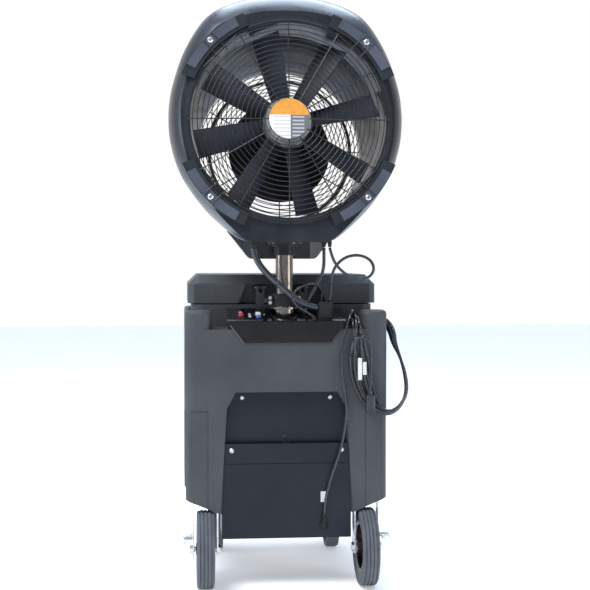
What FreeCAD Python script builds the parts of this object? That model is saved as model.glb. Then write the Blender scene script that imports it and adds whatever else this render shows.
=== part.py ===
import FreeCAD, Part
import math
import os

# Misting fan: a fan head on a telescopic mast above an insulated, wheeled water tank.
# Millimetres. The service side faces -Y, the fan blows towards +Y and Z = 0 is the floor.

# Tank
TANK_HALF = 336.0
TANK_BACK = -270.0
TANK_FRONT = 370.0
TANK_BOTTOM = 247.0
TANK_EDGE_BOTTOM = 295.0
SHOULDER_Z = 905.0
LEDGE_Z = 852.0
HORN_Z = 914.0
HORN_IN = 247.0
NECK_Z = 928.0
MOUTH = (-290.0, 290.0, -50.0, 325.0)
FLOOR_IN = 300.0

# Service side
PANEL_BACK = -262.0
COVER_TOP = 409.5
BAND_TOP = 476.0
COVER_BOTTOM = 165.0
COVER_HALF = 213.0
SHEET = 2.0

# Mast
MAST_Y = -170.0
MAST_R = 30.0
SLEEVE_R = 33.5
MAST_TOP = 1118.0
PAN_BOTTOM = 1084.0
PAN_TOP = 1180.0

# Lid
LID_Z = 932.0
LID_TOP = 1030.0
LID_SLOPE = 34.0
LID_HALF = 325.0
LID_BACK = -108.0
HINGE_Y = -92.0
HINGE_Z = 985.0

# Head
HEAD_Z = 1533.0
HEAD_BACK = -340.0
HEAD_FRONT = 22.0
HEAD_TILT = 4.0
HEAD_FORWARD = 19.35
BORE_R = 318.0
NOZZLE_Y = -195.0
OUTLET_R = 288.0
OUTLET_DROP = 45.0
IMPELLER_Y = -262.0
MOTOR_R = 78.0
SCREW_R = 359.0

# Wheels
REAR_R = 127.0
REAR_X = 267.0
PEDAL_Z = 168.0
REAR_Y = -240.0
CASTER_R = 100.0
CASTER_X = 215.0
CASTER_Y = 305.0
CASTER_TRAIL = -45.0

# Console: the deck's slope, and each button's place across and up it, its width and its length
DECK_REAR = 880.0
DECK_TOP = 916.0
DECK_RUN = 118.0
SLOPE_TILT = math.degrees(math.atan2(DECK_TOP - DECK_REAR, DECK_RUN))
BUTTONS = {"power_button": (-149, 60, 17, 26), "mist_button": (-91, 66, 18, 24), "fan_button": (-91, 40, 17, 14)}

# Hank of spare mains cord
HANK_D = 32.0

X = FreeCAD.Vector(1, 0, 0)
Y = FreeCAD.Vector(0, 1, 0)
Z = FreeCAD.Vector(0, 0, 1)
DIRECTIONS = {"x": X, "y": Y, "z": Z}


def point(x, y, z):
    return FreeCAD.Vector(x, y, z)


def box(x0, x1, y0, y1, z0, z1):
    return Part.makeBox(x1 - x0, y1 - y0, z1 - z0, point(x0, y0, z0))


def rod(p, axis, radius, length):
    return Part.makeCylinder(radius, length, point(*p), axis)


def ring(p, axis, outer, inner, length):
    return rod(p, axis, outer, length).cut(rod(p, axis, inner, length))


def lift(axis, a, b, level):
    if axis == "x":
        return point(level, a, b)
    if axis == "y":
        return point(a, level, b)
    return point(a, b, level)


def prism(outline, axis, low, high):
    """A closed outline across an axis, extruded between two levels."""
    corners = [lift(axis, a, b, low) for a, b in outline]
    face = Part.Face(Part.makePolygon(corners + corners[:1]))
    return face.extrude(DIRECTIONS[axis] * (high - low))


def mirrored(shape):
    return shape.mirror(point(0, 0, 0), X)


def pair(shape):
    """A piece and its twin across the middle plane."""
    return Part.makeCompound([shape, mirrored(shape)])


def edges_where(shape, keep):
    return [edge for edge in shape.Edges if keep(edge.BoundBox)]


def upright(bounds):
    return bounds.XLength < 0.01 and bounds.YLength < 0.01 and bounds.ZLength > 2


def rounded_box(x0, x1, y0, y1, z0, z1, radius, top=0.0):
    """A box with rounded upright edges and, if asked, a rounded top rim."""
    body = box(x0, x1, y0, y1, z0, z1)
    body = body.makeFillet(radius, edges_where(body, upright))
    if top:
        body = body.makeFillet(top, edges_where(body, lambda b: b.ZMin > z1 - 0.01))
    return body


def revolve(outline, p, axis):
    """An outline of (radius, distance along the axis), turned about an axis."""
    across = Z if abs(axis.z) < 0.5 else X
    base = point(*p)
    corners = [base + across * r + axis * d for r, d in outline]
    face = Part.Face(Part.makePolygon(corners + corners[:1]))
    return face.revolve(base, axis, 360)


def save(name, shape):
    shape.exportStep("parts/" + name + ".step")
    print(name, round(shape.Volume / 1000.0, 1), len(shape.Solids), shape.isValid())


def tank_shell():
    outline = [
        (-TANK_HALF, TANK_EDGE_BOTTOM),
        (-218, TANK_BOTTOM),
        (218, TANK_BOTTOM),
        (TANK_HALF, TANK_EDGE_BOTTOM),
        (TANK_HALF, SHOULDER_Z),
        (-TANK_HALF, SHOULDER_Z),
    ]
    body = prism(outline, "y", TANK_BACK, TANK_FRONT)
    body = body.makeFillet(34, edges_where(body, upright))
    body = body.makeFillet(10, edges_where(body, lambda b: b.ZMin > SHOULDER_Z - 0.01))
    # The corner pads stand 4 mm behind the wall above them.
    for side in (-1, 1):
        inner = 258 * side
        outer = (TANK_HALF + 1) * side
        skin = (TANK_HALF - 4) * side
        low, high = sorted((inner, outer))
        body = body.cut(box(low, high, TANK_BACK - 1, TANK_BACK + 4, 200, 586))
        low, high = sorted((skin, outer))
        body = body.cut(box(low, high, TANK_BACK - 1, -40, 200, 586))
    # The rear ledge carries the console; the gaps behind the horns hold a cord.
    body = body.cut(box(-400, 400, TANK_BACK - 1, -120, LEDGE_Z, SHOULDER_Z + 1))
    horn = rounded_box(HORN_IN, TANK_HALF, TANK_BACK, -186, LEDGE_Z - 40, HORN_Z, 34, 14)
    body = body.fuse(horn).fuse(mirrored(horn))
    body = body.fuse(rounded_box(-312, 312, -106, 352, SHOULDER_Z - 10, NECK_Z, 40))
    # Two lugs at the back of the neck carry the lid.
    for x in (-76, 70):
        lug = box(x - 15, x + 15, -106, -82, NECK_Z - 2, HINGE_Z + 9)
        lug = lug.makeFillet(10, edges_where(lug, lambda b: b.YMax < -105.9 and b.ZMin > HINGE_Z + 8.9))
        slot = box(x - 6, x + 6, -107, -81, HINGE_Z - 16, HINGE_Z + 10)
        body = body.fuse(lug.cut(slot))
        body = body.cut(rod((x - 16, HINGE_Y, HINGE_Z), X, 4.05, 32))
    # The water space, with a drain low in one side wall.
    body = body.cut(rounded_box(*MOUTH, FLOOR_IN, NECK_Z + 1, 40))
    body = body.cut(rod((280, 200, 330), X, 12.2, 60))
    # The recess for the service plates and, behind the lower one, the pump room.
    recess = [(-218, 200), (218, 200), (218, 250), (198, 593), (168, 646), (-168, 646), (-198, 593), (-218, 250)]
    body = body.cut(prism(recess, "y", TANK_BACK - 1, PANEL_BACK))
    upper = [(-204, BAND_TOP - 12), (204, BAND_TOP - 12), (197, 593), (168, 646), (-168, 646), (-197, 593)]
    body = body.cut(prism(upper, "y", PANEL_BACK - 1, -238))
    body = body.cut(box(-195, 195, PANEL_BACK - 1, -140, 200, BAND_TOP - 14))
    # The mast socket and the rear wheel wells.
    body = body.cut(rod((0, MAST_Y, 520), Z, SLEEVE_R + 0.2, 400))
    well = box(224, 310, -258, -110, 200, 290)
    body = body.cut(well).cut(mirrored(well))
    return body.removeSplitter()


def lid_shape():
    body = rounded_box(-LID_HALF, LID_HALF, LID_BACK, 366, LID_Z, LID_TOP, 40)
    body = body.makeChamfer(LID_SLOPE, edges_where(body, lambda b: b.ZMin > LID_TOP - 0.01))
    for side in (-1, 1):
        low, high = sorted((228 * side, 400 * side))
        body = body.cut(box(low, high, LID_BACK - 1, LID_BACK + 4, LID_Z - 1, LID_TOP + 1))
    recess = [(-152, LID_Z - 1), (152, LID_Z - 1), (126, 997), (-126, 997)]
    body = body.cut(prism(recess, "y", LID_BACK - 1, -74))
    for x in (-76, 70):
        knuckle = rod((x - 5.4, HINGE_Y, HINGE_Z), X, 8, 10.8)
        knuckle = knuckle.fuse(box(x - 5.4, x + 5.4, HINGE_Y, -72, HINGE_Z - 7, HINGE_Z + 7))
        body = body.fuse(knuckle).cut(rod((x - 8, HINGE_Y, HINGE_Z), X, 4.05, 16))
    return body.removeSplitter()


def gasket_shape():
    outer = rounded_box(-305, 305, -68, 344, NECK_Z, LID_Z, 38)
    return outer.cut(rounded_box(-295, 295, -58, 334, NECK_Z - 1, LID_Z + 1, 30))


def service_parts():
    outline = [(-201, 470), (201, 470), (196, 592), (166, 642), (-166, 642), (-196, 592)]
    back_plate = prism(outline, "y", -240, -238).cut(rod((0, -241, 485), Y, 12, 4))
    band = prism([(-207, 411), (207, 411), (204, BAND_TOP), (-204, BAND_TOP)], "y", -264, PANEL_BACK)
    band = band.fuse(box(-202, 202, PANEL_BACK, -250, BAND_TOP - SHEET, BAND_TOP))
    half = COVER_HALF
    front = [(-half, COVER_BOTTOM), (half, COVER_BOTTOM), (half, TANK_BOTTOM), (206, COVER_TOP)]
    front += [(-206, COVER_TOP), (-half, TANK_BOTTOM)]
    cover = prism(front, "y", -264, PANEL_BACK)
    tray = box(-half, half, PANEL_BACK, -100, COVER_BOTTOM, TANK_BOTTOM)
    inner = box(-half + SHEET, half - SHEET, PANEL_BACK - 1, -102, COVER_BOTTOM + SHEET, TANK_BOTTOM + 1)
    cover = cover.fuse(tray.cut(inner)).cut(rod((122, -266, 206), Y, 7, 6))
    screws = []
    for x, y, z in ((147, -240, 625), (182, -264, 454)):
        head = revolve([(0, 0), (8, 0), (8, 1.6), (5, 4.4), (0, 4.4)], (x, y, z), -Y)
        head = head.cut(box(x - 6, x + 6, y - 6, y - 3, z - 0.9, z + 0.9))
        head = head.cut(box(x - 0.9, x + 0.9, y - 6, y - 3, z - 6, z + 6))
        screws += [head, mirrored(head)]
    lip = [(10, 0), (18.5, 0), (18.5, 3), (15, 6), (10, 6)]
    grommet = revolve(lip, (0, -240, 485), -Y)
    web = [(0, 0), (10, 0), (10, 2), (0, 2)]
    grommet = grommet.fuse(revolve(web, (0, -240, 485), -Y))
    gland = revolve([(0, 0), (14, 0), (14, 6), (11, 8), (0, 8)], (122, -264, 202), -Y)
    gland = gland.fuse(rounded_box(114, 130, -283, -266, 196, 216, 5))
    boot = revolve([(4.6, 0), (7.5, 0), (5.4, 30), (4.6, 30)], (122, -275, 216), Z)
    gland = gland.fuse(boot)
    save("service_back_plate", back_plate)
    save("cover_band", band)
    save("pump_cover", cover)
    save("cover_screws", Part.makeCompound(screws))
    save("port_grommet", grommet)
    save("cord_gland", gland)


def pump_parts():
    motor = rod((-130, -200, 215), X, 34, 130)
    motor = motor.fuse(box(-118, -12, -230, -170, COVER_BOTTOM + SHEET, 190))
    head = rod((0.2, -200, 215), X, 30, 48)
    head = head.fuse(rod((24, -200, 240), Z, 9, 32))
    bowl = revolve([(0, 0), (24, 4), (26, 90), (30, 92), (30, 118), (0, 118)], (112, -185, 262), Z)
    bowl = bowl.fuse(rod((76, -185, 366), X, 7, 10)).fuse(box(98, 126, -157, -140, 352, 376))
    line = tube([(24, -200, 272.2), (24, -198, 325), (36, -190, 364), (75.2, -185, 366)], 10)
    save("pump_motor", motor)
    save("pump_head", head)
    save("water_filter", Part.makeCompound([bowl, line]))


def tube(points, diameter):
    """Straight runs joined by tangent arcs, swept with a round section."""
    stops = [point(*p) for p in points]
    edges = []
    start = stops[0]
    for before, corner, after in zip(stops, stops[1:], stops[2:]):
        back = before - corner
        ahead = after - corner
        reach = 0.45 * min(back.Length, ahead.Length)
        back.normalize()
        ahead.normalize()
        turn = math.pi - back.getAngle(ahead)
        radius = reach / math.tan(turn / 2.0)
        first = corner + back * reach
        last = corner + ahead * reach
        middle = back + ahead
        middle.normalize()
        drop = radius / math.cos(turn / 2.0) - radius
        print("  radius", round(radius, 1), "turn", round(math.degrees(turn)))
        edges.append(Part.LineSegment(start, first).toShape())
        edges.append(Part.Arc(first, corner + middle * drop, last).toShape())
        start = last
    edges.append(Part.LineSegment(start, stops[-1]).toShape())
    spine = Part.Wire(edges)
    section = Part.Wire(Part.makeCircle(diameter / 2.0, stops[0], stops[1] - stops[0]))
    body = spine.makePipeShell([section], True, True)
    print("  length", round(spine.Length), "ratio", round(body.Volume / spine.Length / section.Length ** 2 * 4 * math.pi, 3))
    return body


def on_slope(u, v):
    """A point on the deck's slope: u across, v up from its rear edge."""
    rise = math.radians(SLOPE_TILT)
    return point(u, TANK_BACK + v * math.cos(rise), DECK_REAR + v * math.sin(rise))


def sloped(shape, u, v):
    """Stand a piece that was built flat at the origin on the deck's slope."""
    shape = shape.copy()
    shape.rotate(point(0, 0, 0), X, SLOPE_TILT)
    shape.translate(on_slope(u, v))
    return shape


def oval(width, length, low, high):
    """An upright slab with round ends, longer along Y."""
    half = (length - width) / 2.0
    if half < 0.5:
        return rod((0, 0, low), Z, width / 2.0, high - low)
    body = box(-width / 2.0, width / 2.0, -half, half, low, high)
    body = body.fuse(rod((0, -half, low), Z, width / 2.0, high - low))
    return body.fuse(rod((0, half, low), Z, width / 2.0, high - low)).removeSplitter()


def console_parts():
    top = TANK_BACK + DECK_RUN
    side = [(TANK_BACK, LEDGE_Z), (TANK_BACK, DECK_REAR), (top, DECK_TOP), (-120, DECK_TOP), (-120, LEDGE_Z)]
    deck = prism(side, "x", -196, 196)
    room = [(-264, LEDGE_Z - 1), (-264, 873), (top, 908), (-126, 908), (-126, LEDGE_Z - 1)]
    for low, high in ((-190, -45), (45, 190)):
        deck = deck.cut(prism(room, "x", low, high))
    deck = deck.cut(rod((0, MAST_Y, 800), Z, SLEEVE_R + 0.2, 200))
    deck = deck.cut(sloped(box(-70, 70, -46, 46, -2, 1), -117, 56))
    deck = deck.cut(sloped(box(-62, 62, -46, 46, -2, 1), 121, 56))
    panels = sloped(box(-69.7, 69.7, -45.7, 45.7, -2, 0), -117, 56)
    for name, (u, v, width, length) in BUTTONS.items():
        hole = sloped(oval(width + 0.6, length + 0.6, -30, 5), u, v)
        deck = deck.cut(hole)
        panels = panels.cut(hole)
        button = oval(width, length, -8, 4)
        rim = edges_where(button, lambda b: b.ZMin > 3.99)
        save(name, sloped(button.makeFillet(1.5, rim), u, v))
    cover = sloped(box(-61.7, 61.7, -45.7, 45.7, -2, 0), 121, 56)
    save("console_deck", deck.removeSplitter())
    save("console_panels", Part.makeCompound([panels, cover]))
    outline = [(-188, DECK_REAR), (-188, 866), (-143, 808), (143, 808), (188, 866), (188, DECK_REAR)]
    trim = prism(outline, "y", TANK_BACK - 6, TANK_BACK)
    trim = trim.makeChamfer(2, edges_where(trim, lambda b: b.YMax < TANK_BACK - 5.99))
    save("console_trim", trim)
    board = sloped(box(-58, 58, -36, 36, -24, -22), -117, 60)
    save("control_board", board)


def mast_parts():
    sleeve = ring((0, MAST_Y, 520), Z, SLEEVE_R, MAST_R + 0.08, 404)
    flange = ring((0, MAST_Y, DECK_TOP), Z, 46, SLEEVE_R - 0.5, 5)
    save("mast_sleeve", sleeve.fuse(flange))
    collar = ring((0, MAST_Y, 924), Z, 44, MAST_R + 0.08, 42)
    collar = collar.makeChamfer(2, edges_where(collar, lambda b: b.XLength > 80))
    for side in (-1, 1):
        collar = collar.fuse(box(*sorted((38 * side, 56 * side)), MAST_Y - 14, MAST_Y + 14, 928, 962))
    collar = collar.cut(rod((0, MAST_Y, 900), Z, MAST_R + 0.08, 80))
    collar = collar.cut(box(-60, 60, MAST_Y - 1.5, MAST_Y + 1.5, 920, 970))
    save("clamp_collar", collar)
    bolts = []
    for x in (-49, 49):
        for z in (937, 953):
            bolts.append(hexagon((x, MAST_Y - 14, z), -Y, 6.5, 6))
            bolts.append(rod((x, MAST_Y - 20, z), -Y, 3, 3))
    for angle in (20, 70, 110, 160, 250, 290):
        spot = point(0, MAST_Y, DECK_TOP + 5) + turned(41, angle)
        bolts.append(hexagon(spot, Z, 4.4, 3))
    save("mast_bolts", Part.makeCompound(bolts))
    lever = rod((-56.3, MAST_Y, 945), -X, 9, 14)
    lever = lever.fuse(box(-70.3, -62.3, MAST_Y - 58, MAST_Y, 939, 951))
    lever = lever.fuse(rod((-66.3, MAST_Y - 58, 939), Z, 8, 12))
    save("clamp_lever", lever)
    tube_body = ring((0, MAST_Y, 560), Z, MAST_R, MAST_R - 3, MAST_TOP - 560)
    save("mast_tube", tube_body)
    top = MAST_TOP
    ribs = [(MAST_R, top - 22)]
    for step in range(4):
        level = top - 22 + 7 * step
        ribs += [(37, level), (37, level + 4), (34.5, level + 4), (34.5, level + 7)]
    cap = [(46, top + 6), (46, top + 15), (14, top + 15), (14, top + 54), (0, top + 54), (0, top), (MAST_R, top)]
    save("mast_bush", revolve(ribs + cap, (0, MAST_Y, 0), Z))


def turned(radius, degrees):
    angle = math.radians(degrees)
    return point(radius * math.cos(angle), radius * math.sin(angle), 0)


def hexagon(p, axis, radius, height):
    across = X if abs(axis.x) < 0.5 else Z
    base = point(*p)
    corners = []
    for k in range(6):
        spin = FreeCAD.Rotation(axis, 60.0 * k)
        corners.append(base + spin.multVec(across * radius))
    return Part.Face(Part.makePolygon(corners + corners[:1])).extrude(axis * height)


# Half outline of the head at its widest, from its top to the middle of the chin.
HEAD_OUTLINE = [
    (0, 429), (118, 419), (190, 398), (253, 364), (296, 315), (320, 275), (341, 233), (363, 172), (380, 108),
    (388, 9), (384, -42), (370, -110), (343, -181), (303, -246), (262, -300), (215, -347), (180, -378),
    (150, -397), (80, -402), (0, -402),
]
# Each section of the head: its place along the fan axis, and its scale across, upward and downward.
HEAD_SECTIONS = [
    (HEAD_BACK, 0.9, 0.845, 0.985), (-285, 0.985, 0.985, 0.97), (-165, 0.985, 0.995, 0.935),
    (HEAD_FRONT, 0.86, 0.8, 0.885),
]


def head_section(y, across, upward, downward):
    half = HEAD_OUTLINE + [(-x, z) for x, z in reversed(HEAD_OUTLINE[1:-1])]
    curve = Part.BSplineCurve()
    stops = [point(x * across, y, HEAD_Z + z * (upward if z > 0 else downward)) for x, z in half]
    curve.interpolate(stops, PeriodicFlag=True)
    return Part.Wire(curve.toShape())


def head_body(inset):
    sections = []
    for y, across, upward, downward in HEAD_SECTIONS:
        y = min(max(y, HEAD_BACK + inset), HEAD_FRONT - inset)
        less = inset / 380.0
        sections.append(head_section(y, across - less, upward - less, downward - less))
    return Part.makeLoft(sections, True, False)


def leaned(shape):
    """Lean a piece of the head about its rear face, so that the outlet points slightly down."""
    shape = shape.copy()
    shape.rotate(point(0, HEAD_BACK, HEAD_Z), X, -HEAD_TILT)
    shape.translate(Y * HEAD_FORWARD)
    return shape


def duct(wall):
    """The air way, grown by a wall: straight round the fan, then narrowing and dropping to the outlet."""
    straight = rod((0, HEAD_BACK - 20, HEAD_Z), Y, BORE_R + wall, NOZZLE_Y - HEAD_BACK + 20)
    inlet = Part.Wire(Part.makeCircle(BORE_R + wall, point(0, NOZZLE_Y, HEAD_Z), Y))
    outlet_z = HEAD_Z - OUTLET_DROP
    outlet = Part.Wire(Part.makeCircle(OUTLET_R + wall, point(0, HEAD_FRONT, outlet_z), Y))
    nozzle = Part.makeLoft([inlet, outlet], True, True)
    return straight.fuse(nozzle).fuse(rod((0, HEAD_FRONT, outlet_z), Y, OUTLET_R + wall, 20))


def sector(inner, outer, middle, spread, y0, y1):
    """A piece of a flat ring around the fan axis; angles from +X towards +Z."""
    shape = ring((0, y0, HEAD_Z), Y, outer, inner, y1 - y0)
    reach = outer * 1.6
    corners = [(0, HEAD_Z)]
    for angle in (middle - spread, middle, middle + spread):
        spot = turned(reach, angle)
        corners.append((spot.x, HEAD_Z + spot.y))
    return shape.common(prism(corners, "y", y0, y1))


def guard_wires(radii, wire, y_at, spoke, spoke_shift, centre_z):
    """Concentric wires with twelve straight wires laid on them."""
    pieces = []
    for radius in radii:
        pieces.append(Part.makeTorus(radius, wire / 2.0, point(0, y_at(radius), centre_z), Y))
    for k in range(12):
        way = turned(1, 30 * k)
        low, high = radii[0] - 15, radii[-1] + 2.5
        start = point(way.x * low, y_at(low) + spoke_shift, centre_z + way.y * low)
        end = point(way.x * high, y_at(high) + spoke_shift, centre_z + way.y * high)
        pieces.append(straight_wire(start, end, spoke))
    return pieces


def straight_wire(start, end, thickness):
    return Part.makeCylinder(thickness / 2.0, (end - start).Length, start, end - start)


def corner_clips():
    """At each corner a bar across the guard, and two wires from it to either side of the corner's screw."""
    pieces = []
    for k in range(4):
        out = turned(1, 45 + 90 * k)
        side = turned(1, 135 + 90 * k)

        def spot(away, aside, y):
            return point(out.x * away + side.x * aside, y, HEAD_Z + out.y * away + side.y * aside)

        pieces.append(straight_wire(spot(314, -77, -356.1), spot(314, 77, -356.1), 4))
        for aside in (-19, 19):
            bend = spot(328, aside, -368.1)
            wire = straight_wire(spot(300, aside, -360.2), bend, 3.6)
            wire = wire.fuse(straight_wire(bend, spot(374, aside, -368.1), 3.6))
            pieces.append(wire.fuse(Part.makeSphere(1.8, bend)))
    return pieces


def blade(angle):
    """One paddle, pitched and slightly twisted from root to tip."""
    wires = []
    for radius, chord, pitch in ((64, 74, 48), (185, 94, 42), (306, 106, 37)):
        lean = math.radians(pitch)
        corners = []
        for u, v in ((-0.5, -1), (0.5, -1), (0.5, 1), (-0.5, 1)):
            along = u * chord
            thick = v * 2.5
            side = along * math.cos(lean) - thick * math.sin(lean)
            depth = along * math.sin(lean) + thick * math.cos(lean)
            corners.append(point(radius, IMPELLER_Y + depth, side))
        wires.append(Part.makePolygon(corners + corners[:1]))
    shape = Part.makeLoft(wires, True, True)
    shape.rotate(point(0, 0, 0), Y, -angle)
    shape.translate(point(0, 0, HEAD_Z))
    return shape


def pan_shape():
    """The turntable under the head: a hub round the mast's pin and a wall in front of it."""
    low = PAN_BOTTOM
    wall = prism([(-112, low), (112, low), (122, low + 10), (190, PAN_TOP), (-190, PAN_TOP), (-122, low + 10)],
                 "y", -128, -62)
    wall = wall.makeFillet(24, edges_where(wall, lambda b: b.YLength > 60 and b.ZMax < low + 11))
    plan = [(-92, -128), (92, -128), (191, -66), (191, -61), (-191, -61), (-191, -66)]
    return wall.common(prism(plan, "z", low - 1, PAN_TOP + 1))


def head_parts():
    hub_low = MAST_TOP + 15.1
    outer = leaned(head_body(0))
    seat = rod((0, MAST_Y, 1050), Z, 60, PAN_TOP - 1050)
    void = head_body(9).cut(duct(7))
    shell = leaned(head_body(0).cut(duct(0)).cut(void)).cut(seat)
    save("head_shell", shell)
    pan = pan_shape().cut(outer)
    pan = pan.fuse(ring((0, MAST_Y, hub_low), Z, 60, 14.06, PAN_TOP - hub_low))
    save("swivel_pan", pan.cut(rod((0, MAST_Y, 1050), Z, 50, hub_low - 1050)).removeSplitter())
    bezel = ring((0, HEAD_BACK - 10, HEAD_Z), Y, 339, BORE_R, 10)
    trims = []
    screws = []
    for k in range(4):
        middle = 45 + 90 * k
        bezel = bezel.fuse(sector(331, 375, middle, 22, HEAD_BACK - 22, HEAD_BACK))
        trims.append(sector(342, 373, middle, 17, HEAD_BACK - 26, HEAD_BACK - 22))
        spot = turned(SCREW_R, middle)
        start = (spot.x, HEAD_BACK - 26, HEAD_Z + spot.y)
        screws.append(revolve([(0, 0), (9, 0), (9, 2), (6, 4), (0, 4)], start, -Y))
    save("rear_bezel", leaned(bezel.removeSplitter()))
    save("bezel_trims", leaned(Part.makeCompound(trims)))
    save("guard_screws", leaned(Part.makeCompound(screws)))
    radii = [327 - 15.6 * k for k in range(16, -1, -1)]
    wires = guard_wires(radii, 3.2, lambda r: -352 - (327 - r) * 0.035, 4, -3.6, HEAD_Z)
    save("rear_guard", leaned(Part.makeCompound(wires + corner_clips())))
    save("motor_plate", leaned(rod((0, -370, HEAD_Z), Y, 65, 3)))
    case = [(0, -300), (10, -300), (10, -212), (60, -212), (MOTOR_R, -200), (MOTOR_R, -30), (50, -18), (50, 7.4),
            (0, 7.4)]
    save("fan_motor", leaned(revolve(case, (0, 0, HEAD_Z), Y)))
    hub = [(10.06, -328), (76, -328), (78, -322), (78, -232), (60, -226), (10.06, -226)]
    fan = revolve(hub, (0, 0, HEAD_Z), Y)
    for k in range(8):
        fan = fan.fuse(blade(13 + 45 * k))
    save("impeller", leaned(fan))
    outlet_z = HEAD_Z - OUTLET_DROP
    radii = [283 - 13 * k for k in range(7, -1, -1)]
    wires = guard_wires(radii, 3.2, lambda r: 10.0, 4, 3.6, outlet_z)
    wires.append(rod((0, 7.5, outlet_z), Y, 180, 4))
    save("front_guard", leaned(Part.makeCompound(wires)))
    mist = Part.makeTorus(250, 5, point(0, -1.7, outlet_z), Y)
    mist = mist.fuse(rod((0, -1.7, outlet_z - 253), -Z, 5, 32.8))
    for k in range(6):
        spot = turned(250, 30 + 60 * k)
        mist = mist.fuse(rod((spot.x, 0, outlet_z + spot.y), Y, 6, 6))
    save("mist_ring", leaned(mist))


def rear_wheel(side):
    centre = (REAR_X * side, REAR_Y, REAR_R)
    grooves = []
    for x in (-18, -6, 6, 18):
        grooves += [(REAR_R, x - 2), (REAR_R - 3, x - 1.5), (REAR_R - 3, x + 1.5), (REAR_R, x + 2)]
    profile = [(82, -24), (112, -29), (122, -27)] + grooves + [(122, 27), (112, 29), (82, 24)]
    tyre = revolve(profile, centre, X)
    rim = revolve([(10.06, -31), (20, -31), (20, -6), (72, -6), (72, -22), (82, -24), (82, 24), (72, 22), (72, 6),
                   (20, 6), (20, 31), (10.06, 31)], centre, X)
    name = "left" if side < 0 else "right"
    save("rear_tyre_" + name, tyre)
    save("rear_rim_" + name, rim)
    stub = (309.4 * side, REAR_Y, PEDAL_Z)
    out = X * side
    boss = ring(stub, out, 9, 4.06, 30)
    low, high = sorted((312 * side, 339.4 * side))
    plate = box(low, high, REAR_Y - 62, REAR_Y - 7, PEDAL_Z - 2, PEDAL_Z + 2)
    plate = plate.fuse(box(low, high, REAR_Y - 64, REAR_Y - 59, PEDAL_Z - 8, PEDAL_Z + 8))
    save("brake_pedal_" + name, boss.fuse(plate).cut(rod(stub, out, 4.06, 40)))


def under_parts():
    for side in (-1, 1):
        rear_wheel(side)
    legs = []
    axles = []
    for side in (-1, 1):
        for x in (225, 304):
            low, high = sorted((x * side, (x + 5) * side))
            leg = [(-17, 290), (-17, 200), (-19, 108), (19, 108), (28, 200), (28, 290)]
            legs.append(prism([(REAR_Y + y, z) for y, z in leg], "x", low, high))
        low, high = sorted((225 * side, 309 * side))
        top = box(low, high, REAR_Y - 17, REAR_Y + 28, 285, 290)
        bracket = top.fuse(legs.pop()).fuse(legs.pop())
        bracket = bracket.cut(rod((220 * side, REAR_Y, REAR_R), X * side, 10.02, 100))
        bracket = bracket.fuse(rod((309 * side, REAR_Y, PEDAL_Z), X * side, 4, 36))
        legs.insert(0, bracket)
        axle = rod((219 * side, REAR_Y, REAR_R), X * side, 10, 101)
        axle = axle.fuse(hexagon((218 * side, REAR_Y, REAR_R), X * side, 15, 7))
        axle = axle.fuse(hexagon((309 * side, REAR_Y, REAR_R), X * side, 15, 9))
        axles.append(axle)
    save("rear_forks", Part.makeCompound(legs))
    save("rear_axles", Part.makeCompound(axles))
    plates = box(CASTER_X - 45, CASTER_X + 45, CASTER_Y - 45, CASTER_Y + 45, TANK_BOTTOM - 5, TANK_BOTTOM)
    plates = plates.fuse(rod((CASTER_X, CASTER_Y, 226.2), Z, 9, 18))
    save("caster_plates", pair(plates))
    for side in (-1, 1):
        name = "left" if side < 0 else "right"
        x = CASTER_X * side
        y = CASTER_Y + CASTER_TRAIL
        fork = ring((x, CASTER_Y, 226), Z, 32, 9.06, 15.9).fuse(box(x - 32, x + 32, y - 12, CASTER_Y + 20, 214, 226))
        cheek = [(CASTER_Y + 20, 220), (y + 14, 92), (y - 14, 92), (y - 12, 226), (CASTER_Y + 20, 226)]
        for low in (x - 32, x + 27):
            fork = fork.fuse(prism(cheek, "x", low, low + 5))
        fork = fork.fuse(rod((x - 36, y, CASTER_R), X, 8, 72))
        save("caster_fork_" + name, fork)
        wheel = [(8.06, -24), (26, -24), (26, -10), (76, -10), (80, -22), (96, -22), (100, -15)]
        wheel += [(r, -d) for r, d in reversed(wheel)]
        save("caster_wheel_" + name, revolve(wheel, (x, y, CASTER_R), X))
    save("drain_plug", revolve([(0, 0), (12, 0), (12, 40), (17, 40), (17, 48), (0, 48)], (296, 200, 330), X))


HOSE_THICK = [
    (-107, -252, 1120), (-105, -252, 1097), (-92, -252, 1068), (-70, -250, 1040), (-36, -247, 1008), (2, -244, 976),
    (38, -240, 946), (72, -233, 928), (107.9, -226, 921),
]
HOSE_THIN = [
    (128, -222, 1121), (129, -222, 1086), (127, -219, 1045), (112, -214, 1005), (90, -208, 968),
    (74, -204, 935), (68, -200, 906),
]
CABLE_LOOP = [
    (144, -250, 1121), (150, -250, 1095), (167, -250, 1060), (200, -250, 1030), (245, -248, 1012),
    (282, -243, 1024), (297, -236, 1052), (284, -229, 1082), (248, -223, 1098), (205, -218, 1092),
    (174, -213, 1068), (158, -208, 1036), (154, -205, 1000), (152, -205, 968), (147, -206, 940.1),
]
CABLE_RING = [
    (122, -205, 940.1), (123, -207, 962), (117, -221, 985), (97, -245, 1002), (62, -264, 1000),
    (28, -268, 982), (16, -268, 954), (32, -266, 928), (62, -264, 912), (90, -262, 893),
]
MAINS_RUN = [
    (122, -275, 216), (123, -276, 250), (127, -277, 300), (142, -279, 360), (164, -281, 420),
    (181, -284, 480), (191, -286, 540), (196, -287, 595), (189, -288, 650), (179, -288, 705),
    (176, -288, 760), (182, -289, 812), (195, -290, 856), (208, -282, 898), (219, -258, 916),
    (225, -225, 908), (225, -205, 888),
]
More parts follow.
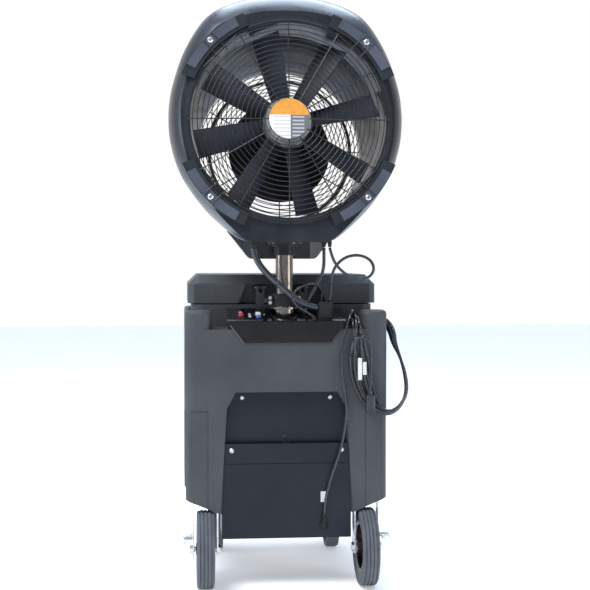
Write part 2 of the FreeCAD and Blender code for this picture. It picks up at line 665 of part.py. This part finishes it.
COIL_ROUTE = [
    (300, -153, 872), (256, -156, 872), (226, -182, 873), (222, -225, 876), (222, -264, 888), (225, -298, 868),
    (230, -296, 815), (236, -292, 750), (246, -290, 685), (264, -291, 628), (294, -292, 588), (334, -290, 574),
    (374, -278, 592), (402, -262, 640), (398, -246, 704), (382, -226, 764), (364, -204, 814), (355, -182, 856),
    (338, -163, 882), (302, -153.6, 872),
]


def cord_parts():
    print("hoses")
    save("hose_thick", tube(HOSE_THICK, 21))
    save("hose_thin", tube(HOSE_THIN, 11))
    save("cable_loop", Part.makeCompound([tube(CABLE_LOOP, 9.5), tube(CABLE_RING, 7)]))
    block = rounded_box(108, 156, -242, -192, 880, 940, 8)
    slope = prism([(TANK_BACK, 800), (TANK_BACK, DECK_REAR), (TANK_BACK + DECK_RUN, DECK_TOP),
                   (-100, DECK_TOP), (-100, 800)], "x", 40, 200)
    glands = block
    for x, y, z, r in ((68, -200, 906, 9), (90, -262, 893, 7)):
        glands = Part.makeCompound([glands, rod((x, y, z - 12), Z, r, 12)])
    save("deck_glands", glands.cut(slope))
    outer = leaned(head_body(0))
    stubs = []
    for (x, y, z), r in ((HOSE_THICK[0], 10.5), (HOSE_THIN[0], 5.5), (CABLE_LOOP[0], 4.75)):
        foot = revolve([(0, 0), (r, 0), (r + 2, 8), (r + 3, 60), (0, 60)], (x, y, z + 1.5), Z)
        stubs.append(foot.cut(outer).Solids[0])
    save("hose_stubs", Part.makeCompound(stubs))
    print("mains")
    run = tube(MAINS_RUN, 9)
    save("mains_cord", run)
    save("mains_coil", tube(COIL_ROUTE, HANK_D))
    plug = rounded_box(252, 282, -338, -308, 590, 640, 8)
    save("mains_plug", plug.fuse(rod((267, -323, 640), Z, 7, 14)))
    save("cord_tags", Part.makeCompound([box(229, 242, -311, -309, 688, 760), box(245, 257, -311, -309, 705, 747)]))


if __name__ == "__main__":
    os.makedirs("parts", exist_ok=True)
    save("tank_shell", tank_shell())
    save("lid", lid_shape())
    save("lid_gasket", gasket_shape())
    pins = [rod((x - 19, HINGE_Y, HINGE_Z), X, 4, 38) for x in (-76, 70)]
    save("lid_hinge_pins", Part.makeCompound(pins))
    service_parts()
    pump_parts()
    console_parts()
    mast_parts()
    head_parts()
    under_parts()
    cord_parts()
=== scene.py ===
import math

import bpy
from mathutils import Matrix, Vector


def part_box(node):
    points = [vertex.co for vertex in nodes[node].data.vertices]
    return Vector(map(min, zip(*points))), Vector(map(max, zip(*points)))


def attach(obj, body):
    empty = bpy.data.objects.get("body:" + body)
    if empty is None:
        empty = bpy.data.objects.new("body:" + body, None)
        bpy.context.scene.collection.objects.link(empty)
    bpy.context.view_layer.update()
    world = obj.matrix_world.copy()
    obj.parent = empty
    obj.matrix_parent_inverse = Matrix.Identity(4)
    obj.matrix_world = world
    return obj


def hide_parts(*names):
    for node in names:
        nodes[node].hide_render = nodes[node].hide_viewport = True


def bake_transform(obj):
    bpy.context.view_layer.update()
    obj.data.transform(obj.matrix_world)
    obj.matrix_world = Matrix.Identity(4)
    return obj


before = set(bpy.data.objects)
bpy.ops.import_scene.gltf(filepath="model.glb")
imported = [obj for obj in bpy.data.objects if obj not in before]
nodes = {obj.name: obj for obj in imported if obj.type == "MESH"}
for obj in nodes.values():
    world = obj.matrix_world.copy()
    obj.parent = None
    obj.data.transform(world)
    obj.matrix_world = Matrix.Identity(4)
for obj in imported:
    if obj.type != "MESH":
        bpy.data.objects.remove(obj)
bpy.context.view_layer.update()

# The head leans about its rear face, so that its outlet points slightly down.
HEAD_LEAN = math.radians(4)
HUB_RADIUS = 0.0785


def middle_of(name):
    low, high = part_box(name)
    return (Vector(low) + Vector(high)) / 2


LABEL_THICKNESS = 0.003
LABEL_CENTRE = middle_of("motor_plate") - Vector((0, LABEL_THICKNESS / 2, 0))
FAN_CENTRE = middle_of("impeller")


# ---------------------------------------------------------------- materials

def new_material(name, color, roughness, metallic=0.0):
    material = bpy.data.materials.new(name)
    material.use_nodes = True
    shader = material.node_tree.nodes["Principled BSDF"]
    shader.inputs["Base Color"].default_value = (*color, 1.0)
    shader.inputs["Roughness"].default_value = roughness
    shader.inputs["Metallic"].default_value = metallic
    return material, material.node_tree, shader


def node(tree, kind, **values):
    made = tree.nodes.new(kind)
    for name, value in values.items():
        if name in made.inputs:
            made.inputs[name].default_value = value
        else:
            setattr(made, name, value)
    return made


def coordinates(tree, scale=(1, 1, 1)):
    place = node(tree, "ShaderNodeTexCoord")
    mapping = node(tree, "ShaderNodeMapping")
    mapping.inputs["Scale"].default_value = scale
    tree.links.new(place.outputs["Object"], mapping.inputs["Vector"])
    return mapping.outputs["Vector"]


def noise(tree, scale, detail=4.0, stretch=(1, 1, 1)):
    made = node(tree, "ShaderNodeTexNoise", Scale=scale, Detail=detail)
    tree.links.new(coordinates(tree, stretch), made.inputs["Vector"])
    return made.outputs["Fac"]


def ramp(tree, value, stops):
    made = node(tree, "ShaderNodeValToRGB")
    elements = made.color_ramp.elements
    while len(elements) < len(stops):
        elements.new(0.5)
    for element, (at, color) in zip(elements, stops):
        element.position = at
        element.color = (*color, 1.0)
    tree.links.new(value, made.inputs["Fac"])
    return made.outputs["Color"]


def map_range(tree, value, source, target=(0.0, 1.0)):
    """A value carried from one (low, high) range to another."""
    made = node(tree, "ShaderNodeMapRange")
    for name, limit in zip(("From Min", "From Max", "To Min", "To Max"), (*source, *target)):
        made.inputs[name].default_value = limit
    tree.links.new(value, made.inputs["Value"])
    return made.outputs["Result"]


def spread(tree, value, low, high):
    """The middle of a noise's range, where most of its values lie, carried to low and high."""
    return map_range(tree, value, (0.3, 0.7), (low, high))


def bump(tree, shader, value, strength, distance):
    made = node(tree, "ShaderNodeBump")
    made.inputs["Strength"].default_value = strength
    made.inputs["Distance"].default_value = distance
    tree.links.new(value, made.inputs["Height"])
    tree.links.new(made.outputs["Normal"], shader.inputs["Normal"])
    return made


def moulded(name, dark, light, rough, grain=900.0, depth=0.0004, patch=6.0, coat=0.0, shine=0.35):
    """Moulded plastic or rubber: cloudy tone, fine grain, uneven gloss."""
    material, tree, shader = new_material(name, dark, rough)
    tone = ramp(tree, noise(tree, patch, 6.0), [(0.3, dark), (0.72, light)])
    tree.links.new(tone, shader.inputs["Base Color"])
    uneven = spread(tree, noise(tree, patch * 3.0), rough - 0.06, rough + 0.08)
    tree.links.new(uneven, shader.inputs["Roughness"])
    bump(tree, shader, noise(tree, grain, 3.0), 0.35, depth)
    shader.inputs["Coat Weight"].default_value = coat
    shader.inputs["Coat Roughness"].default_value = 0.12
    shader.inputs["Specular IOR Level"].default_value = shine
    return material


def metal(name, dark, light, rough, stretch=(1, 1, 1), grain=60.0, depth=0.0002):
    """Bare or plated metal with fine streaks."""
    material, tree, shader = new_material(name, light, rough, 1.0)
    streaks = noise(tree, grain, 5.0, stretch)
    tree.links.new(ramp(tree, streaks, [(0.3, dark), (0.7, light)]), shader.inputs["Base Color"])
    uneven = spread(tree, noise(tree, grain * 2.0, 4.0, stretch), rough - 0.07, rough + 0.1)
    tree.links.new(uneven, shader.inputs["Roughness"])
    bump(tree, shader, streaks, 0.2, depth)
    return material


def gloss(name, color, rough=0.08, coat=1.0):
    """Polished plastic: a clear coat over a faintly wavy body."""
    material, tree, shader = new_material(name, color, rough)
    lighter = tuple(c * 1.5 + 0.002 for c in color)
    tone = ramp(tree, noise(tree, 9.0), [(0.35, color), (0.7, lighter)])
    tree.links.new(tone, shader.inputs["Base Color"])
    uneven = spread(tree, noise(tree, 25.0), rough, rough + 0.07)
    tree.links.new(uneven, shader.inputs["Roughness"])
    bump(tree, shader, noise(tree, 14.0, 1.0), 0.06, 0.002)
    shader.inputs["Coat Weight"].default_value = coat
    shader.inputs["Coat Roughness"].default_value = 0.04
    return material


def math_node(tree, operation, *values):
    """A Math node on one or two values, each an output socket or a number."""
    made = node(tree, "ShaderNodeMath", operation=operation)
    for value, socket in zip(values, made.inputs):
        if isinstance(value, (int, float)):
            socket.default_value = value
        else:
            tree.links.new(value, socket)
    return made.outputs["Value"]


def mix(tree, factor, first, second):
    """Two colours, each an output socket or a tuple, mixed by a factor."""
    made = node(tree, "ShaderNodeMix", data_type="RGBA")
    tree.links.new(factor, made.inputs["Factor"])
    for value, socket in ((first, made.inputs[6]), (second, made.inputs[7])):
        if isinstance(value, tuple):
            socket.default_value = (*value, 1.0)
        else:
            tree.links.new(value, socket)
    return made.outputs[2]


def axes_of(tree):
    """The X, Y and Z of a point in the object's own space."""
    place = node(tree, "ShaderNodeTexCoord")
    parts = node(tree, "ShaderNodeSeparateXYZ")
    tree.links.new(place.outputs["Object"], parts.inputs["Vector"])
    return parts.outputs


def blade_material():
    """Black paddles on a bare aluminium hub, told apart by their distance from the fan's axis."""
    material, tree, shader = new_material("fan_paddles", (0.02, 0.022, 0.028), 0.42)
    at = axes_of(tree)
    up = math_node(tree, "SUBTRACT", at["Z"], FAN_CENTRE.z)
    across_squared = math_node(tree, "MULTIPLY", at["X"], at["X"])
    up_squared = math_node(tree, "MULTIPLY", up, up)
    squares = math_node(tree, "ADD", across_squared, up_squared)
    on_hub = math_node(tree, "LESS_THAN", squares, HUB_RADIUS ** 2)
    paddle = ramp(tree, noise(tree, 9.0, 6.0),
                  [(0.3, (0.016, 0.018, 0.024)), (0.7, (0.036, 0.041, 0.052))])
    hub = ramp(tree, noise(tree, 70.0), [(0.3, (0.5, 0.5, 0.49)), (0.7, (0.7, 0.7, 0.68))])
    tree.links.new(mix(tree, on_hub, paddle, hub), shader.inputs["Base Color"])
    tree.links.new(math_node(tree, "MULTIPLY", on_hub, 0.85), shader.inputs["Metallic"])
    tree.links.new(spread(tree, noise(tree, 30.0), 0.34, 0.48), shader.inputs["Roughness"])
    bump(tree, shader, noise(tree, 900.0, 3.0), 0.3, 0.0003)
    return material


# The label's fields, measured from its middle line, in metres.
GREY_BARS_X = 0.029
GREY_BARS_HALF = 0.019
WHITE_BARS_FROM = -0.05
GREY_FROM = 0.004
ORANGE_ABOVE = 0.012
BAR_SHARE = 0.62


def label_material():
    """The rear guard's centre plate: orange above, white and grey plain fields with bars below."""
    material, tree, shader = new_material("guard_label", (0.8, 0.3, 0.05), 0.42)
    at = axes_of(tree)

    waves = node(tree, "ShaderNodeTexWave", Scale=26.0, Distortion=0.0)
    waves.bands_direction = "Z"
    tree.links.new(coordinates(tree), waves.inputs["Vector"])
    bars = math_node(tree, "GREATER_THAN", waves.outputs["Fac"], BAR_SHARE)
    from_centre = math_node(tree, "ABSOLUTE", math_node(tree, "SUBTRACT", at["X"], GREY_BARS_X))
    in_grey = math_node(tree, "LESS_THAN", from_centre, GREY_BARS_HALF)
    grey_bars = math_node(tree, "MULTIPLY", bars, in_grey)
    in_white = math_node(tree, "GREATER_THAN", at["X"], WHITE_BARS_FROM)
    white_bars = math_node(tree, "MULTIPLY", bars, in_white)
    grey = mix(tree, grey_bars, (0.13, 0.13, 0.14), (0.42, 0.42, 0.42))
    white = mix(tree, white_bars, (0.72, 0.72, 0.72), (0.5, 0.5, 0.5))
    lower = mix(tree, math_node(tree, "GREATER_THAN", at["X"], GREY_FROM), white, grey)
    orange = ramp(tree, noise(tree, 60.0), [(0.3, (0.58, 0.24, 0.03)), (0.7, (0.7, 0.31, 0.05))])
    below = math_node(tree, "LESS_THAN", at["Z"], LABEL_CENTRE.z + ORANGE_ABOVE)
    face = mix(tree, below, orange, lower)
    rise = math_node(tree, "SUBTRACT", at["Z"], LABEL_CENTRE.z)
    lean = math_node(tree, "MULTIPLY", rise, math.tan(HEAD_LEAN))
    depth = math_node(tree, "SUBTRACT", at["Y"], lean)
    front = math_node(tree, "LESS_THAN", depth, LABEL_CENTRE.y + 0.001)
    tree.links.new(mix(tree, front, (0.02, 0.02, 0.02), face), shader.inputs["Base Color"])
    bump(tree, shader, noise(tree, 300.0), 0.05, 0.0003)
    return material


MATERIALS = {
    "tank": moulded("tank_plastic", (0.038, 0.041, 0.044), (0.058, 0.061, 0.064), 0.5,
                    grain=700.0, depth=0.0006),
    # The lid is the tank's plastic painted darker: painted shade for the head's shadow on it.
    "lid": moulded("lid_plastic_painted_shade", (0.032, 0.035, 0.038), (0.05, 0.053, 0.057), 0.46,
                   grain=700.0, depth=0.0006),
    "head": moulded("head_plastic", (0.008, 0.010, 0.013), (0.015, 0.018, 0.023), 0.3,
                    grain=800.0, depth=0.0003, coat=0.1, shine=0.6),
    "bezel": moulded("bezel_plastic", (0.010, 0.012, 0.015), (0.018, 0.021, 0.026), 0.3,
                     grain=800.0, depth=0.0003, coat=0.1, shine=0.6),
    # Gloss-black trims given a bluish grey body colour: a painted reflection of the sky.
    "trim": gloss("gloss_trim_painted_sky_reflection", (0.05, 0.058, 0.075), 0.12),
    "piano": gloss("piano_black", (0.004, 0.004, 0.005), 0.05),
    "panel": moulded("panel_paint", (0.004, 0.006, 0.010), (0.008, 0.011, 0.017), 0.42,
                     grain=1400.0, depth=0.0002, patch=4.0, shine=0.3),
    "stainless": metal("mast_steel", (0.2, 0.17, 0.14), (0.42, 0.37, 0.32), 0.22,
                       stretch=(18, 18, 0.6), grain=30.0),
    "zinc": metal("zinc_plate", (0.5, 0.5, 0.48), (0.78, 0.78, 0.75), 0.3, grain=120.0),
    "wire": moulded("wire_coating", (0.010, 0.010, 0.011), (0.02, 0.02, 0.021), 0.33,
                    grain=1200.0, depth=0.0002, patch=30.0, coat=0.3),
    "steel_black": moulded("black_steel", (0.008, 0.008, 0.009), (0.018, 0.018, 0.019), 0.4,
                           grain=1000.0, depth=0.0002, patch=20.0),
    "tyre": moulded("tyre_rubber", (0.075, 0.082, 0.094), (0.12, 0.128, 0.142), 0.7,
                    grain=500.0, depth=0.0008, patch=18.0),
    "rubber": moulded("black_rubber", (0.006, 0.006, 0.006), (0.014, 0.014, 0.014), 0.6,
                      grain=900.0, depth=0.0003, patch=30.0),
    "jacket": moulded("cord_jacket", (0.006, 0.007, 0.01), (0.014, 0.017, 0.024), 0.26,
                      grain=800.0, depth=0.0001, patch=40.0, coat=0.2, shine=0.6),
    "hose": moulded("hose_rubber", (0.016, 0.02, 0.028), (0.028, 0.034, 0.046), 0.3,
                    grain=700.0, depth=0.0002, patch=25.0, coat=0.1, shine=0.6),
    "blade": blade_material(),
    "rim": gloss("rim_plastic", (0.012, 0.012, 0.013), 0.3, coat=0.2),
    "white": moulded("white_tag", (0.55, 0.55, 0.53), (0.78, 0.78, 0.75), 0.5,
                     grain=300.0, depth=0.0002, patch=40.0),
    "sticker": moulded("plain_sticker", (0.62, 0.55, 0.56), (0.74, 0.68, 0.68), 0.45,
                       grain=500.0, depth=0.0001, patch=70.0),
    "red_key": gloss("red_key", (0.45, 0.012, 0.015), 0.2, coat=0.6),
    "blue_key": gloss("blue_key", (0.02, 0.12, 0.5), 0.2, coat=0.6),
    "white_key": gloss("white_key", (0.6, 0.6, 0.6), 0.2, coat=0.6),
    "board": moulded("circuit_board", (0.01, 0.09, 0.03), (0.02, 0.16, 0.05), 0.4,
                     grain=400.0, depth=0.0003, patch=60.0),
    "filter": gloss("filter_bowl", (0.04, 0.1, 0.25), 0.2, coat=0.7),
    "label": label_material(),
    "floor": moulded("floor_pale", (0.9, 0.9, 0.9), (0.95, 0.95, 0.95), 0.6,
                     grain=60.0, depth=0.0001, patch=2.0),
}

# The CAD nodes that each material is put on.
FINISH = {
    "tank": ["tank_shell"],
    "lid": ["lid"],
    "head": ["head_shell", "swivel_pan"],
    "bezel": ["rear_bezel"],
    "trim": ["bezel_trims"],
    "piano": ["console_trim", "console_deck", "console_panels"],
    "panel": ["service_back_plate", "cover_band", "pump_cover"],
    "stainless": ["mast_tube", "mast_sleeve", "mist_ring"],
    "zinc": ["cover_screws", "guard_screws", "mast_bolts", "rear_axles", "rear_forks",
             "brake_pedal_left", "brake_pedal_right", "lid_hinge_pins"],
    "wire": ["rear_guard", "front_guard"],
    "steel_black": ["fan_motor", "clamp_collar", "clamp_lever", "caster_plates", "caster_fork_left",
                    "caster_fork_right", "mast_bush", "pump_motor"],
    "tyre": ["rear_tyre_left", "rear_tyre_right", "caster_wheel_left", "caster_wheel_right"],
    "rubber": ["port_grommet", "cord_gland", "deck_glands", "hose_stubs", "lid_gasket",
               "drain_plug"],
    "jacket": ["mains_plug"],
    "blade": ["impeller"],
    "rim": ["rear_rim_left", "rear_rim_right", "pump_head"],
    "white": ["cord_tags"],
    "red_key": ["power_button"],
    "blue_key": ["fan_button"],
    "white_key": ["mist_button"],
    "board": ["control_board"],
    "filter": ["water_filter"],
    "label": ["motor_plate"],
}


def dress(obj, material):
    obj.data.materials.clear()
    obj.data.materials.append(MATERIALS[material])


for finish, names in FINISH.items():
    for name in names:
        dress(nodes[name], finish)


# ---------------------------------------------------------------- cords and hoses

MM = 0.001
# The routes of part.py's cords, as control points in millimetres. MAINS_RUN stops at the ledge.
HOSE_THICK = [
    (-107, -252, 1120), (-105, -252, 1097), (-92, -252, 1068), (-70, -250, 1040),
    (-36, -247, 1008), (2, -244, 976), (38, -240, 946), (72, -233, 928), (107.9, -226, 921),
]
HOSE_THIN = [
    (128, -222, 1121), (129, -222, 1086), (127, -219, 1045), (112, -214, 1005), (90, -208, 968),
    (74, -204, 935), (68, -200, 906),
]
CABLE_LOOP = [
    (144, -250, 1121), (150, -250, 1095), (167, -250, 1060), (200, -250, 1030), (245, -248, 1012),
    (282, -243, 1024), (297, -236, 1052), (284, -229, 1082), (248, -223, 1098), (205, -218, 1092),
    (174, -213, 1068), (158, -208, 1036), (154, -205, 1000), (152, -205, 968), (147, -206, 940.1),
]
CABLE_RING = [
    (122, -205, 940.1), (123, -207, 962), (117, -221, 985), (97, -245, 1002), (62, -264, 1000),
    (28, -268, 982), (16, -268, 954), (32, -266, 928), (62, -264, 912), (90, -262, 893),
]
MAINS_RUN = [
    (122, -275, 216), (123, -276, 250), (127, -277, 300), (142, -279, 360), (164, -281, 420),
    (181, -284, 480), (191, -286, 540), (196, -287, 595), (189, -288, 650), (179, -288, 705),
    (176, -288, 760), (182, -289, 812), (195, -290, 856), (208, -282, 898),
]
COIL_ROUTE = [
    (298, -153, 872), (256, -156, 872), (226, -182, 873), (222, -225, 878), (222, -256, 888),
    (223, -286, 888), (226, -307, 866), (230, -304, 826), (236, -292, 755), (246, -290, 685),
    (264, -291, 628), (294, -292, 588), (334, -290, 574), (374, -278, 592), (402, -262, 640),
    (398, -246, 704), (382, -226, 764), (368, -208, 800), (365, -187, 836), (353, -166, 867),
    (328, -155, 878),
]
# How far each turn leaves the bundle sideways at each point of the route.
FAN_SHARE = [
    0, 0, 0, 0, 0, 0.03, 0.2, 0.5, 0.85, 1.0, 0.75, 0.4, 0.2, 0.25, 0.3, 0.3, 0.25, 0.1, 0, 0, 0,
]
# Each turn's place round the bundle in degrees, and how far it leaves it sideways at the widest.
TURNS = [(0, 34), (300, 22), (60, 9), (240, -7), (120, -20), (180, -32)]
# The fanned turns also lean in towards the tank, and drop by a part of the sideways amount.
FAN_DEPTH = 12.0
FAN_DROP = 0.12
# How far the turns lie from the middle of the hank where it is bound together, and the part of
# that which they lose where they are fanned out fully.
BUNDLE = 9.8
BUNDLE_LOSS = 0.8
# The point of the route where each turn starts, on the ledge.
TURN_START = 3
# The lead climbs from the rear wall on to the ledge, and its other end comes off the hank in a
# bight above the plug.
RUN_OVER_LEDGE = [(219, -258, 916), (223, -228, 908), (233, -194, 889)]
PLUG_TAIL = [
    (208, -303, 776), (207.5, -319, 800), (216.7, -320, 822.3), (239, -320, 831.5),
    (261.3, -320, 822.3), (270.5, -320, 800), (270, -320, 760), (268, -321, 720),
    (267, -323, 690), (267, -323, 654),
]


def link(obj):
    """Put an object into the scene."""
    bpy.context.scene.collection.objects.link(obj)
    return obj


def cord_curve(name, route, diameter, material="jacket"):
    curve = bpy.data.curves.new(name, "CURVE")
    curve.dimensions = "3D"
    spline = curve.splines.new("NURBS")
    spline.points.add(len(route) - 1)
    for point, (x, y, z) in zip(spline.points, route):
        point.co = (x * MM, y * MM, z * MM, 1.0)
    spline.order_u = 3
    spline.use_endpoint_u = True
    curve.resolution_u = 8
    curve.bevel_depth = diameter * MM / 2
    curve.bevel_resolution = 5
    curve.use_fill_caps = True
    curve.materials.append(MATERIALS[material])
    return link(bpy.data.objects.new(name, curve))


def centreline(obj):
    """The points of a cord's spline, read from the curve with no bevel."""
    depth = obj.data.bevel_depth
    obj.data.bevel_depth = 0
    bpy.context.view_layer.update()
    mesh = bpy.data.meshes.new_from_object(obj)
    obj.data.bevel_depth = depth
    line = [v.co.copy() for v in mesh.vertices]
    bpy.data.meshes.remove(mesh)
    return line


def mesh_object(name, vertices, faces, material, smooth=True):
    mesh = bpy.data.meshes.new(name)
    mesh.from_pydata([tuple(v) for v in vertices], [], faces)
    mesh.update()
    mesh.materials.append(MATERIALS[material])
    if smooth:
        mesh.shade_smooth()
    return link(bpy.data.objects.new(name, mesh))


def tube(name, line, radius, material="hose", sides=20):
    """A round tube along a line, its section carried along without twist."""
    vertices, faces = [], []
    along = (line[1] - line[0]).normalized()
    side = along.orthogonal().normalized()
    for k, spot in enumerate(line):
        ahead = (line[min(k + 1, len(line) - 1)] - line[max(k - 1, 0)]).normalized()
        side = (along.rotation_difference(ahead) @ side).normalized()
        along = ahead
        across = along.cross(side)
        for s in range(sides):
            angle = 2 * math.pi * s / sides
            vertices.append(spot + (side * math.cos(angle) + across * math.sin(angle)) * radius)
    for k in range(len(line) - 1):
        for s in range(sides):
            a, b = k * sides + s, k * sides + (s + 1) % sides
            faces.append((a, b, b + sides, a + sides))
    faces.append(tuple(reversed(range(sides))))
    faces.append(tuple(range((len(line) - 1) * sides, len(line) * sides)))
    return mesh_object(name, vertices, faces, material)


def split_hose(name, route, diameter, seam_z, node_name):
    """A hose from head to deck, cut into an upper and a lower tube at a height."""
    guide = cord_curve(name + "_guide", route, diameter)
    line = centreline(guide)
    bpy.data.objects.remove(guide)
    cut = max(k for k, spot in enumerate(line) if spot.z > seam_z)
    upper = tube(name + "_upper", line[:cut + 1], diameter * MM / 2)
    lower = tube(name + "_lower", line[cut:], diameter * MM / 2)
    top, bottom, seam = line[0], line[-1], line[cut]
    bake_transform(upper)
    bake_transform(lower)
    for piece, part, start in ((upper, line[:cut + 1], top), (lower, line[cut:][::-1], bottom)):
        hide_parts(node_name)


split_hose("thick_hose", HOSE_THICK, 21, 1.0, "hose_thick")
split_hose("thin_hose", HOSE_THIN, 11, 1.02, "hose_thin")
split_hose("looped_cable", CABLE_LOOP, 9.5, 1.0, "cable_loop")

ring_cable = cord_curve("ring_cable", CABLE_RING, 7)
ring_line = centreline(ring_cable)
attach(ring_cable, "base")
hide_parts("cable_loop")


def coil_frames():
    """A side and an up direction at each point of the closed route, carried along it."""
    spots = [Vector(spot) for spot in COIL_ROUTE]
    count = len(spots)
    heads = [(spots[(k + 1) % count] - spots[k - 1]).normalized() for k in range(count)]
    side = heads[0].orthogonal().normalized()
    sides = [side]
    for before, head in zip(heads, heads[1:] + heads[:1]):
        side = (before.rotation_difference(head) @ side).normalized()
        sides.append(side)
    slip = math.atan2(sides[-1].dot(heads[0].cross(sides[0])), sides[-1].dot(sides[0]))
    frames = []
    for k, head in enumerate(heads):
        side = Matrix.Rotation(-slip * k / count, 3, head) @ sides[k]
        frames.append((side, head.cross(side)))
    return frames


def coil_points():
    """The turns of the hung hank, each from the ledge round and back to it."""
    count = len(COIL_ROUTE)
    frames = coil_frames()
    points = []
    for angle, fan in TURNS:
        turned = math.radians(angle)
        for step in range(count):
            at = (TURN_START - step) % count
            side, up = frames[at]
            share = FAN_SHARE[at]
            reach = BUNDLE * (1 - BUNDLE_LOSS * share)
            bundle = (side * math.cos(turned) + up * math.sin(turned)) * reach
            spread_out = Vector((fan, FAN_DEPTH, -FAN_DROP * fan)) * share
            points.append(tuple(Vector(COIL_ROUTE[at]) + bundle + spread_out))
    return points


# The first turn starts past the ledge and the last one stops short of it.
hank_points = coil_points()[2:-4]
mains = cord_curve("mains_lead", MAINS_RUN + RUN_OVER_LEDGE + hank_points + PLUG_TAIL, 9)
mains_line = centreline(mains)
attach(mains, "base")
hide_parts("mains_cord", "mains_coil")


# ---------------------------------------------------------------- small surface pieces

def plate(name, corners, thickness, way, material):
    """A thin flat plate: an outline of points in order, thickened along a direction."""
    front = [Vector(corner) * MM for corner in corners]
    back = [corner + Vector(way) * thickness * MM for corner in front]
    count = len(corners)
    faces = [tuple(range(count)), tuple(reversed(range(count, 2 * count)))]
    faces += [(k, count + k, count + (k + 1) % count, (k + 1) % count) for k in range(count)]
    piece = mesh_object(name, front + back, faces, material, smooth=False)
    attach(piece, "base")


def rounded(width, height, radius, steps=5):
    """The outline of a rectangle with round corners, about its middle."""
    outline = []
    for quarter, (x, y) in enumerate(((1, 1), (-1, 1), (-1, -1), (1, -1))):
        for k in range(steps + 1):
            angle = math.radians(90 * quarter + 90 * k / steps)
            outline.append((x * (width / 2 - radius) + radius * math.cos(angle),
                            y * (height / 2 - radius) + radius * math.sin(angle)))
    return outline


# The console panel's slope, and its rear edge.
SLOPE = math.radians(16.97)
PANEL_REAR_Y = -270
PANEL_REAR_Z = 880


def on_panel(u, v, lift):
    """A point on the console panel: across, up the slope from its rear edge, and off its face."""
    return (u, PANEL_REAR_Y + v * math.cos(SLOPE) - lift * math.sin(SLOPE),
            PANEL_REAR_Z + v * math.sin(SLOPE) + lift * math.cos(SLOPE))


# Plain printed marks: across, up the slope, width and length.
MARKS = [
    (-120, 40, 10, 6), (-120, 54, 10, 6), (-120, 68, 10, 6),
    (-149, 86, 12, 4), (-91, 86, 16, 5), (-72, 60, 5, 5),
]
MARK_LIFT = 0.35
MARK_THICKNESS = 0.33
into_panel = (0, math.sin(SLOPE), -math.cos(SLOPE))
for number, (u, v, width, length) in enumerate(MARKS):
    mark = [on_panel(u + x, v + y, MARK_LIFT) for x, y in rounded(width, length, 1.8)]
    plate(f"console_mark_{number}", mark, MARK_THICKNESS, into_panel, "white")

STICKER_X = 122
STICKER_Z = 299
STICKER_LIFT = 0.4
STICKER_THICKNESS = 0.38
cover_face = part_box("pump_cover")[0][1] / MM
sticker = [(STICKER_X + x, cover_face - STICKER_LIFT, STICKER_Z + z) for x, z in rounded(20, 35, 2)]
plate("cover_sticker", sticker, STICKER_THICKNESS, (0, 1, 0), "sticker")


# ---------------------------------------------------------------- stage

def area_light(name, spot, aim, size, power, color=(1, 1, 1)):
    data = bpy.data.lights.new(name, "AREA")
    data.shape = "RECTANGLE"
    data.size, data.size_y = size
    data.energy = power
    data.color = color
    lamp = link(bpy.data.objects.new(name, data))
    lamp.location = spot
    lamp.rotation_euler = (Vector(aim) - Vector(spot)).to_track_quat("-Z", "Y").to_euler()


FLOOR_CORNERS = [(-12, -9, 0), (12, -9, 0), (12, 14, 0), (-12, 14, 0)]
floor = mesh_object("floor_stage", FLOOR_CORNERS, [(0, 1, 2, 3)], "floor", smooth=False)
glow = MATERIALS["floor"].node_tree.nodes["Principled BSDF"].inputs
glow["Emission Color"].default_value = (1.0, 1.0, 1.0, 1.0)
glow["Emission Strength"].default_value = 0.3


DIM_ROOM = (0.25, 0.26, 0.28)
WHITE_WALL = (1.0, 1.0, 1.0)
COOL_CEILING = (0.62, 0.78, 1.1)


def studio_world():
    """White behind the object, a cool ceiling, and a dim room behind the camera."""
    world = bpy.data.worlds.new("studio")
    bpy.context.scene.world = world
    world.use_nodes = True
    tree = world.node_tree
    place = node(tree, "ShaderNodeTexCoord")
    way = node(tree, "ShaderNodeSeparateXYZ")
    tree.links.new(place.outputs["Generated"], way.inputs["Vector"])

    level = mix(tree, map_range(tree, way.outputs["Y"], (0.1, 0.8)), DIM_ROOM, WHITE_WALL)
    color = mix(tree, map_range(tree, way.outputs["Z"], (0.34, 0.8)), level, COOL_CEILING)
    tree.links.new(color, tree.nodes["Background"].inputs["Color"])
    tree.nodes["Background"].inputs["Strength"].default_value = 1.0


studio_world()
area_light("key", (-2.0, -2.3, 4.6), (0, 0, 1.1), (1.8, 1.8), 210)
area_light("fill", (3.6, -2.2, 1.4), (0, 0, 0.9), (1.4, 2.4), 40)
area_light("side", (-4.6, -0.8, 2.2), (0, -0.2, 1.5), (1.0, 2.2), 60, (0.75, 0.87, 1.0))
area_light("top", (0.3, 1.2, 4.8), (0, 0, 1.4), (3.0, 3.0), 190, (0.72, 0.85, 1.0))
bpy.context.scene.view_settings.view_transform = "Standard"

# The camera that fits the photograph: the frame, focal length and shift are in pixels.
FRAME = 590
FOCAL = 1100
SHIFT_X, SHIFT_Y = 28.6, -35.6
SENSOR = 36
CAMERA_SPOT = (-0.345, -3.869, 1.082)
CAMERA_YAW = math.radians(-4.4)
camera_data = bpy.data.cameras.new("camera")
camera_data.sensor_width = SENSOR
camera_data.lens = SENSOR * FOCAL / FRAME
camera_data.shift_x = SHIFT_X / FRAME
camera_data.shift_y = SHIFT_Y / FRAME
camera = link(bpy.data.objects.new("camera", camera_data))
camera.location = CAMERA_SPOT
camera.rotation_euler = (math.radians(90), 0, CAMERA_YAW)
bpy.context.scene.camera = camera
